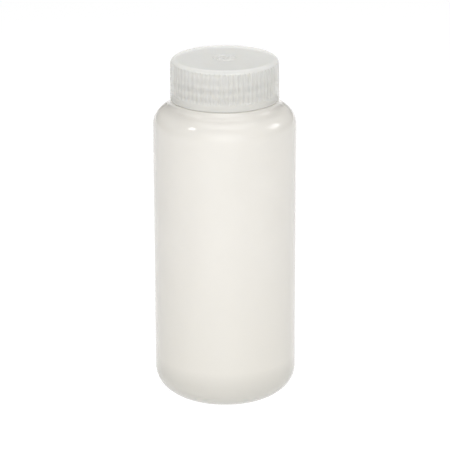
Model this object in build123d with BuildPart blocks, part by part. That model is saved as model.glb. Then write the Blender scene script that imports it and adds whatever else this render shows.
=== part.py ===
"""Wide-mouth polypropylene reagent bottle with a ribbed screw cap and a loose sealing disc.

Millimetres, +Z up, origin at the middle of the base where the bottle stands.
"""
import os
from math import acos, asin, cos, degrees, pi, radians, sin

from build123d import *

# Overall
total_height = 179.3
body_radius = 36.5
wall = 1.25

# Base
corner_across = 16.0
corner_height = 13.7
base_thickness = 1.8
push_up = 2.6
foot_width = 3.0
pinch_line_length = 25.0
pinch_line_width = 0.7
pinch_line_height = 0.3
pinch_line_sunk = 0.3

# Shoulder
shoulder_radius = 10.1
shoulder_fillet = 4.4
collar_radius = 27.5
collar_edge_radius = 0.3
neck_floor = 1.6

# Screw cap
cap_height = 21.0
cap_radius = 27.7
cap_draft = 0.25
cap_edge_radius = 2.9
cap_lip_radius = 0.4
cap_inner_radius = 26.35
cap_roof = 1.6
cap_roof_fillet = 0.8
band_height = 3.4
band_step = 0.1
cap_gap = 0.3

# Grip grooves round the cap
groove_count = 68
groove_depth = 0.45
groove_cutter_radius = 1.05
groove_runout = 1.5

# Mark on the roof of the cap
mark_radius = 5.8
mark_width = 0.5
mark_height = 0.25
gate_recess_radius = 2.0
gate_recess_depth = 0.35
gate_nub_radius = 0.9
pip_radius = 0.45
pip_circle_radius = 3.9
pip_count = 4

# Sealing disc
disc_radius = 25.3
disc_thickness = 0.7
disc_edge_radius = 0.2

# Neck and thread, right-hand
neck_radius = 24.8
neck_bore_radius = 22.6
neck_fillet = 0.8
bore_fillet = 1.2
lip_radius = 0.6
pitch = 4.6
thread_start_angle = 96.0
thread_start_height = 6.0
neck_turns = 2.4
neck_crest_radius = 26.0
neck_root_width = 2.4
neck_crest_width = 1.1
cap_turns = 2.2
cap_crest_radius = 25.1
cap_root_width = 2.0
cap_crest_width = 0.9
thread_shift = 0.4
thread_sunk = 0.2
fade_angle = 36.0
fade_steps = 4
fade_crest_widening = 0.5

edge_tolerance = 0.01

# Worked out from the above
cap_bottom = total_height - cap_height
cap_ceiling = total_height - cap_roof
neck_top = cap_ceiling - disc_thickness
ledge = cap_bottom - cap_gap
neck_thread_z = ledge + thread_start_height
cap_thread_z = neck_thread_z - pitch / 2 + thread_shift
foot_radius = body_radius - corner_across
arc_centre_gap = collar_radius + shoulder_fillet - (body_radius - shoulder_radius)
shoulder_sweep = acos(arc_centre_gap / (shoulder_radius + shoulder_fillet))
shoulder_start = ledge - (shoulder_radius + shoulder_fillet) * sin(shoulder_sweep)


def ridge_section(angle, height, root, crest, root_width, crest_width):
    """Trapezoid across a thread at an angle round the axis, facing along the helix."""
    turn = radians(angle)
    lead = pitch / (2 * pi * root)
    out = Vector(cos(turn), sin(turn), 0)
    along = Vector(-sin(turn), cos(turn), lead)
    with BuildSketch(Plane(origin=(0, 0, height), x_dir=out, z_dir=along)) as section:
        with BuildLine():
            Polyline(
                (root, -root_width / 2),
                (crest, -crest_width / 2),
                (crest, crest_width / 2),
                (root, root_width / 2),
                close=True,
            )
        make_face()
    return section.sketch


def thread_ridge(start_z, turns, wall_radius, crest, root_width, crest_width):
    """Helical ridge on a wall, sunk a little into it, with both ends fading into the wall."""
    into_wall = -thread_sunk if crest > wall_radius else thread_sunk
    root = wall_radius + into_wall
    with BuildPart() as ridge:
        with BuildLine() as path:
            Helix(pitch, pitch * turns, root, center=(0, 0, start_z))
        add(ridge_section(0, start_z, root, crest, root_width, crest_width))
        sweep(path=path.line, is_frenet=True)
        for end_angle, direction in ((0, -1), (360 * turns, 1)):
            sections = []
            for step in range(fade_steps + 1):
                share = step / fade_steps
                angle = end_angle + direction * fade_angle * share
                tip = crest + (wall_radius + into_wall / 2 - crest) * share
                height = start_z + pitch * angle / 360
                width = crest_width + (root_width - crest_width) * share * fade_crest_widening
                sections.append(ridge_section(angle, height, root, tip, root_width, width))
            loft(sections)
    return ridge.part.rotate(Axis.Z, thread_start_angle)


neck_thread = thread_ridge(
    neck_thread_z, neck_turns, neck_radius, neck_crest_radius, neck_root_width, neck_crest_width
)
cap_thread = thread_ridge(
    cap_thread_z, cap_turns, cap_inner_radius, cap_crest_radius, cap_root_width, cap_crest_width
)

# Centres, angles and radii of the bottle's outline
corner_centre = (foot_radius, corner_height)
shoulder_centre = (body_radius - shoulder_radius, shoulder_start)
fillet_centre = (collar_radius + shoulder_fillet, ledge)
sweep_degrees = degrees(shoulder_sweep)
inner_fillet = shoulder_fillet + wall
inner_stop = degrees(asin(neck_floor / inner_fillet))
inner_collar_radius = fillet_centre[0] - inner_fillet * cos(radians(inner_stop))
foot_inner_radius = foot_radius - foot_width

# Pinch-off line of the blow moulding, straight across the hollow under the base
hollow_radius = (foot_inner_radius**2 + push_up**2) / (2 * push_up)

with BuildPart() as pinch_line:
    Box(
        pinch_line_length,
        pinch_line_width,
        push_up + pinch_line_sunk,
        align=(Align.CENTER, Align.CENTER, Align.MIN),
    )
    with Locations((0, 0, push_up - pinch_line_height - hollow_radius)):
        Sphere(hollow_radius, mode=Mode.SUBTRACT)

# Bottle: one wall turned about the axis, drawn up the outside and back down the inside
with BuildPart() as bottle:
    with BuildSketch(Plane.XZ):
        with BuildLine():
            TangentArc((0, push_up), (foot_inner_radius, 0), tangent=(1, 0))
            Line((foot_inner_radius, 0), (foot_radius, 0))
            EllipticalCenterArc(corner_centre, corner_across, corner_height, -90, arc_size=90)
            Line((body_radius, corner_height), (body_radius, shoulder_start))
            CenterArc(shoulder_centre, shoulder_radius, 0, sweep_degrees)
            CenterArc(fillet_centre, shoulder_fillet, 180 + sweep_degrees, -sweep_degrees)
            FilletPolyline(
                (collar_radius, ledge),
                (neck_radius, ledge),
                (neck_radius, neck_top),
                (neck_bore_radius, neck_top),
                (neck_bore_radius, ledge - neck_floor),
                (inner_collar_radius, ledge - neck_floor),
                radius=(neck_fillet, lip_radius, lip_radius, bore_fillet),
            )
            CenterArc(fillet_centre, inner_fillet, 180 + inner_stop, sweep_degrees - inner_stop)
            CenterArc(shoulder_centre, shoulder_radius - wall, sweep_degrees, -sweep_degrees)
            Line((body_radius - wall, shoulder_start), (body_radius - wall, corner_height))
            EllipticalCenterArc(
                corner_centre, corner_across - wall, corner_height - base_thickness, 0, arc_size=-90
            )
            Line((foot_radius, base_thickness), (foot_inner_radius, base_thickness))
            TangentArc(
                (0, push_up + base_thickness), (foot_inner_radius, base_thickness), tangent=(1, 0)
            )
            Line((0, push_up + base_thickness), (0, push_up))
        make_face()
    revolve(axis=Axis.Z)
    collar_edge = bottle.edges().filter_by(GeomType.CIRCLE).filter_by(
        lambda edge: abs(edge.radius - collar_radius) < edge_tolerance
        and abs(edge.center().Z - ledge) < edge_tolerance
    )
    fillet(collar_edge, collar_edge_radius)
    add(neck_thread)
    add(pinch_line.part)

# Sealing disc: flat, held up under the roof by the top of the cap's thread
with BuildPart() as sealing_disc:
    with Locations((0, 0, neck_top)):
        Cylinder(disc_radius, disc_thickness, align=(Align.CENTER, Align.CENTER, Align.MIN))
    fillet(sealing_disc.edges().filter_by(GeomType.CIRCLE), disc_edge_radius)

# One grip groove: runs out above the plain band and passes out through the rounded top edge
band_top = cap_bottom + band_height
grip_radius = cap_radius - band_step
rim_radius = cap_radius - cap_draft
cutter_offset = groove_cutter_radius - groove_depth

with BuildPart() as groove:
    with BuildLine(Plane.XZ) as spine:
        Polyline(
            (grip_radius + groove_cutter_radius, band_top),
            (grip_radius + cutter_offset, band_top + groove_runout),
            (rim_radius + cutter_offset, total_height + groove_depth),
        )
    with BuildSketch(Plane(origin=spine.line @ 0, z_dir=spine.line % 0)):
        Circle(groove_cutter_radius)
    sweep(path=spine.line, transition=Transition.RIGHT)

# Screw cap: turned shell with grooves, a plain band, the inner thread and a plain mark on its roof
with BuildPart() as screw_cap:
    with BuildSketch(Plane.XZ):
        with BuildLine():
            FilletPolyline(
                (0, total_height),
                (rim_radius, total_height),
                (grip_radius, band_top + band_step),
                (cap_radius, band_top),
                (cap_radius, cap_bottom),
                (cap_inner_radius, cap_bottom),
                (cap_inner_radius, cap_ceiling),
                (0, cap_ceiling),
                radius=(cap_edge_radius, 0, 0, cap_lip_radius, cap_lip_radius, cap_roof_fillet),
            )
            Line((0, cap_ceiling), (0, total_height))
        make_face()
    revolve(axis=Axis.Z)
    with PolarLocations(0, groove_count):
        add(groove.part, mode=Mode.SUBTRACT)
    with BuildSketch(Plane.XY.offset(total_height)):
        Circle(gate_recess_radius)
        Circle(gate_nub_radius, mode=Mode.SUBTRACT)
    extrude(amount=-gate_recess_depth, mode=Mode.SUBTRACT)
    with BuildSketch(Plane.XY.offset(total_height)):
        Circle(mark_radius + mark_width / 2)
        Circle(mark_radius - mark_width / 2, mode=Mode.SUBTRACT)
        with PolarLocations(pip_circle_radius, pip_count, start_angle=180 / pip_count):
            Circle(pip_radius)
    extrude(amount=mark_height)
    add(cap_thread)

bottle.part.label = "bottle"
sealing_disc.part.label = "sealing_disc"
screw_cap.part.label = "screw_cap"

os.makedirs("parts", exist_ok=True)
for piece in (bottle, sealing_disc, screw_cap):
    export_step(piece.part, f"parts/{piece.part.label}.step")
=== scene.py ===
"""Looks of a wide-mouth polypropylene reagent bottle, in plain studio light."""

import math

import bpy
from mathutils import Matrix, Vector


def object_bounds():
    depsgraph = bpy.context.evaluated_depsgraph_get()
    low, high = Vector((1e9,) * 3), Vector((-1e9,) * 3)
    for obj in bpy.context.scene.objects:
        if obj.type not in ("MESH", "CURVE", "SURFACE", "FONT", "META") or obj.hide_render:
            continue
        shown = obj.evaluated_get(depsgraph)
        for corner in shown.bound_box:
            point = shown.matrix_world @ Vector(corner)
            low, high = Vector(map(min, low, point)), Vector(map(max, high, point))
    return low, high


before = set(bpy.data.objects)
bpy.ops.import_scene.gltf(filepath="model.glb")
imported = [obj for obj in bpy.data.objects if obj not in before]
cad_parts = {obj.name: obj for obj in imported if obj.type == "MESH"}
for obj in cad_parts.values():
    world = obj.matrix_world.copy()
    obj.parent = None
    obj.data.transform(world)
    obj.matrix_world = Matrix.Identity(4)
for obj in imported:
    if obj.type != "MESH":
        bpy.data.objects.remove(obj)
cad_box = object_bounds()

# The camera stands level with the middle of the view and looks down at the bottle
CAMERA_DISTANCE = 1.167
CAMERA_HEIGHT = 0.4899
CAMERA_PITCH = 0.330
CAMERA_ROLL = -0.0027
CAMERA_LENS = 191.4
SENSOR_WIDTH = 36.0

# Lights: degrees round from the camera's side (right is positive) and up, metres, watts
LIGHTS = {
    "small_left": {"round": -71, "up": 50, "away": 1.3, "size": (0.22, 0.22), "power": 1.7},
    "side_right": {"round": 100, "up": 33, "away": 1.3, "size": (0.45, 0.36), "power": 2.4},
    "overhead": {"round": 0, "up": 90, "away": 0.5, "size": (0.4, 0.4), "power": 1.2},
    "behind": {"round": 175, "up": 60, "away": 0.6, "size": (0.3, 0.3), "power": 1.3},
}

# Glow of the white surroundings: the same all round, and brighter towards these directions
EVEN_GLOW = 0.08
GLOWS = {
    "front": {"round": 0, "up": 12, "tight": 6, "strength": 3.35},
}

# The floor is as white as the photo's background, mostly by its own glow
FLOOR_SIZE = 12.0
FLOOR_GLOW = 0.89
FLOOR_COLOUR = (0.25, 0.25, 0.25)
FLOOR_ROUGHNESS = 0.2

# Plastics: sizes are in metres, and noise is in features per metre. Clear lets light straight through,
# milky scatters it inside down to depth, cover hides what is behind, and shine sets the reflections
PLASTIC_IOR = 1.49
SCATTER_BY_COLOUR = (1.0, 0.95, 0.85)
CLOUD_NOISE = 45.0
CLOUD_DETAIL = 3.0
CLOUD_RANGE = (0.3, 0.7)
GRAIN_NOISE = 900.0
GRAIN_SPREAD = 0.15

PLASTICS = {
    "bottle_milky": {
        "light": (0.94, 0.91, 0.85), "dark": (0.92, 0.89, 0.83),
        "rough": 0.1, "shine": 0.4, "clear": 0.25, "milky": 0.15, "depth": 0.004,
        "skin_noise": 350.0, "skin_height": 0.000005, "cover": 1.0,
    },
    "cap_milky": {
        "light": (0.865, 0.86, 0.825), "dark": (0.85, 0.845, 0.81),
        "rough": 0.22, "shine": 0.4, "clear": 0.0, "milky": 0.4, "depth": 0.002,
        "skin_noise": 500.0, "skin_height": 0.000005, "cover": 0.42,
    },
    "disc_soft": {
        "light": (0.90, 0.90, 0.89), "dark": (0.87, 0.87, 0.86),
        "rough": 0.5, "shine": 0.5, "clear": 0.1, "milky": 0.6, "depth": 0.002,
        "skin_noise": 700.0, "skin_height": 0.00004, "cover": 1.0,
    },
}
WEARS = {"bottle": "bottle_milky", "screw_cap": "cap_milky", "sealing_disc": "disc_soft"}

# Painted shade in the bottle's colour: darker between the neck's thread turns, where the cap shades
# them, and darker towards the bottom and the base, where less light reaches
NECK_PAINTED_SHADE = (0.64, 0.64, 0.63)
THREAD_CREST = 0.0256
THREAD_ROOT = 0.0249
NECK_PAINTED_SHADE_HEIGHTS = (0.158, 0.165)
LOWER_PAINTED_SHADE = (0.88, 0.85, 0.78)
LOWER_PAINTED_SHADE_HEIGHTS = (0.09, 0.015)
BASE_PAINTED_SHADE = (0.55, 0.54, 0.50)
BASE_PAINTED_SHADE_HEIGHTS = (0.022, 0.0)


def node(tree, kind, **values):
    """Adds a shader node and sets its attributes and, by socket name, its inputs."""
    made = tree.nodes.new(kind)
    for name, value in values.items():
        if hasattr(made, name):
            setattr(made, name, value)
        else:
            made.inputs[name.replace("_", " ")].default_value = value
    return made


def noise(tree, scale, detail=2.0):
    """Noise in the object's own coordinates, at features per metre."""
    place = node(tree, "ShaderNodeTexCoord")
    made = node(tree, "ShaderNodeTexNoise", Scale=scale, Detail=detail)
    tree.links.new(place.outputs["Object"], made.inputs["Vector"])
    return made.outputs["Fac"]


def ramp(tree, value, low, high, stops):
    """Maps a value to colours between low and high."""
    spread = node(tree, "ShaderNodeMapRange", From_Min=low, From_Max=high)
    tree.links.new(value, spread.inputs["Value"])
    made = node(tree, "ShaderNodeValToRGB")
    for element, (position, colour) in zip(made.color_ramp.elements, stops):
        element.position = position
        element.color = (*colour, 1)
    tree.links.new(spread.outputs["Result"], made.inputs["Fac"])
    return made.outputs["Color"]


def plastic(name, spec):
    """Milky plastic, from one of PLASTICS."""
    material = bpy.data.materials.new(name)
    material.use_nodes = True
    tree = material.node_tree
    shader = tree.nodes["Principled BSDF"]
    stops = ((0.0, spec["dark"]), (1.0, spec["light"]))
    clouds = ramp(tree, noise(tree, CLOUD_NOISE, CLOUD_DETAIL), *CLOUD_RANGE, stops)
    tree.links.new(clouds, shader.inputs["Base Color"])
    grain = noise(tree, GRAIN_NOISE)
    smoothest, roughest = (spec["rough"] * (1 + side * GRAIN_SPREAD) for side in (-1, 1))
    spread = node(tree, "ShaderNodeMapRange", To_Min=smoothest, To_Max=roughest)
    tree.links.new(grain, spread.inputs["Value"])
    tree.links.new(spread.outputs["Result"], shader.inputs["Roughness"])
    skin = node(tree, "ShaderNodeBump", Strength=1.0, Distance=spec["skin_height"])
    tree.links.new(noise(tree, spec["skin_noise"]), skin.inputs["Height"])
    tree.links.new(skin.outputs["Normal"], shader.inputs["Normal"])
    shader.inputs["IOR"].default_value = PLASTIC_IOR
    shader.inputs["Specular IOR Level"].default_value = spec["shine"]
    shader.inputs["Transmission Weight"].default_value = spec["clear"]
    shader.inputs["Subsurface Weight"].default_value = spec["milky"]
    shader.inputs["Subsurface Radius"].default_value = SCATTER_BY_COLOUR
    shader.inputs["Subsurface Scale"].default_value = spec["depth"]
    shader.inputs["Alpha"].default_value = spec["cover"]
    return material


def along(tree, measure, start, end):
    """0 to 1 between two heights ("Z"), or two distances from the bottle's axis ("axis"), in metres."""
    place = node(tree, "ShaderNodeTexCoord")
    split = node(tree, "ShaderNodeSeparateXYZ")
    tree.links.new(place.outputs["Object"], split.inputs["Vector"])
    value = split.outputs["Z"]
    if measure == "axis":
        flat = node(tree, "ShaderNodeCombineXYZ")
        tree.links.new(split.outputs["X"], flat.inputs["X"])
        tree.links.new(split.outputs["Y"], flat.inputs["Y"])
        length = node(tree, "ShaderNodeVectorMath", operation="LENGTH")
        tree.links.new(flat.outputs["Vector"], length.inputs[0])
        value = length.outputs["Value"]
    spread = node(tree, "ShaderNodeMapRange", From_Min=start, From_Max=end)
    tree.links.new(value, spread.inputs["Value"])
    return spread.outputs["Result"]


def both(tree, first, second):
    """Product of two amounts."""
    made = node(tree, "ShaderNodeMath", operation="MULTIPLY")
    tree.links.new(first, made.inputs[0])
    tree.links.new(second, made.inputs[1])
    return made.outputs["Value"]


def tint(material, amount, colour):
    """Carries the material's colour towards another where the amount is high."""
    tree = material.node_tree
    base = tree.nodes["Principled BSDF"].inputs["Base Color"]
    mixed = node(tree, "ShaderNodeMix", data_type="RGBA", blend_type="MIX")
    tree.links.new(amount, mixed.inputs["Factor"])
    tree.links.new(base.links[0].from_socket, mixed.inputs["A"])
    mixed.inputs["B"].default_value = (*colour, 1)
    tree.links.new(mixed.outputs["Result"], base)


def wear(piece_name, material):
    """Gives a CAD node its material in every slot."""
    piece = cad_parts[piece_name]
    for slot in piece.material_slots:
        slot.material = material


def direction(round_degrees, up_degrees):
    """Unit vector from the bottle, round from the camera's side and up from the floor."""
    turn, rise = math.radians(round_degrees), math.radians(up_degrees)
    return Vector((math.sin(turn) * math.cos(rise), -math.cos(turn) * math.cos(rise), math.sin(rise)))


def add_light(name, target, spec):
    """Rectangular softbox aimed at a target point."""
    lamp = bpy.data.lights.new(name, "AREA")
    lamp.shape = "RECTANGLE"
    lamp.size, lamp.size_y = spec["size"]
    lamp.energy = spec["power"]
    holder = bpy.data.objects.new(name, lamp)
    towards = direction(spec["round"], spec["up"])
    holder.location = target + towards * spec["away"]
    holder.rotation_euler = towards.to_track_quat("Z", "Y").to_euler()
    bpy.context.collection.objects.link(holder)


def add_floor():
    """Plain white floor, large enough to fill the view."""
    half = FLOOR_SIZE / 2
    mesh = bpy.data.meshes.new("floor")
    corners = [(-half, -half, 0), (half, -half, 0), (half, half, 0), (-half, half, 0)]
    mesh.from_pydata(corners, [], [(0, 1, 2, 3)])
    floor = bpy.data.objects.new("floor", mesh)
    bpy.context.collection.objects.link(floor)
    material = bpy.data.materials.new("floor_white")
    material.use_nodes = True
    shader = material.node_tree.nodes["Principled BSDF"]
    shader.inputs["Base Color"].default_value = (*FLOOR_COLOUR, 1)
    shader.inputs["Roughness"].default_value = FLOOR_ROUGHNESS
    shader.inputs["Emission Color"].default_value = (1, 1, 1, 1)
    shader.inputs["Emission Strength"].default_value = FLOOR_GLOW
    mesh.materials.append(material)


def add_world():
    """White surroundings, brighter towards the glows."""
    world = bpy.data.worlds.new("studio")
    world.use_nodes = True
    tree = world.node_tree
    towards = node(tree, "ShaderNodeTexCoord")
    total = node(tree, "ShaderNodeValue").outputs["Value"]
    total.default_value = EVEN_GLOW
    for glow in GLOWS.values():
        facing = node(tree, "ShaderNodeVectorMath", operation="DOT_PRODUCT")
        facing.inputs[1].default_value = direction(glow["round"], glow["up"])
        tree.links.new(towards.outputs["Generated"], facing.inputs[0])
        front = node(tree, "ShaderNodeMath", operation="MAXIMUM")
        front.inputs[1].default_value = 0.0
        tree.links.new(facing.outputs["Value"], front.inputs[0])
        lobe = node(tree, "ShaderNodeMath", operation="POWER")
        lobe.inputs[1].default_value = glow["tight"]
        tree.links.new(front.outputs["Value"], lobe.inputs[0])
        added = node(tree, "ShaderNodeMath", operation="MULTIPLY_ADD")
        added.inputs[1].default_value = glow["strength"]
        tree.links.new(lobe.outputs["Value"], added.inputs[0])
        tree.links.new(total, added.inputs[2])
        total = added.outputs["Value"]
    background = tree.nodes["Background"]
    background.inputs["Color"].default_value = (1, 1, 1, 1)
    tree.links.new(total, background.inputs["Strength"])
    bpy.context.scene.world = world


def add_camera():
    """Camera at the photograph's viewing angle."""
    lens = bpy.data.cameras.new("camera")
    lens.lens = CAMERA_LENS
    lens.sensor_width = SENSOR_WIDTH
    camera = bpy.data.objects.new("camera", lens)
    camera.location = (0, -CAMERA_DISTANCE, CAMERA_HEIGHT)
    tilt = Matrix.Rotation(math.pi / 2 - CAMERA_PITCH, 3, "X")
    camera.rotation_euler = (tilt @ Matrix.Rotation(CAMERA_ROLL, 3, "Z")).to_euler()
    bpy.context.collection.objects.link(camera)
    bpy.context.scene.camera = camera


plastics = {name: plastic(name, spec) for name, spec in PLASTICS.items()}
bottle_milky = plastics["bottle_milky"]
nodes = bottle_milky.node_tree
# Painted shade: grey between the neck's thread turns, standing in for the shade under the cap
painted_shade_between_threads = both(
    nodes, along(nodes, "axis", THREAD_CREST, THREAD_ROOT), along(nodes, "Z", *NECK_PAINTED_SHADE_HEIGHTS)
)
tint(bottle_milky, painted_shade_between_threads, NECK_PAINTED_SHADE)
# Painted shade: darker towards the bottom, where less light reaches
tint(bottle_milky, along(nodes, "Z", *LOWER_PAINTED_SHADE_HEIGHTS), LOWER_PAINTED_SHADE)
# Painted shade: darker still at the base corner, next to the floor
tint(bottle_milky, along(nodes, "Z", *BASE_PAINTED_SHADE_HEIGHTS), BASE_PAINTED_SHADE)
for piece_name, plastic_name in WEARS.items():
    wear(piece_name, plastics[plastic_name])

low, high = (Vector(corner) for corner in cad_box)
add_floor()
add_world()
for light_name, light in LIGHTS.items():
    add_light(light_name, (low + high) / 2, light)
add_camera()
bpy.context.scene.view_settings.view_transform = "Standard"
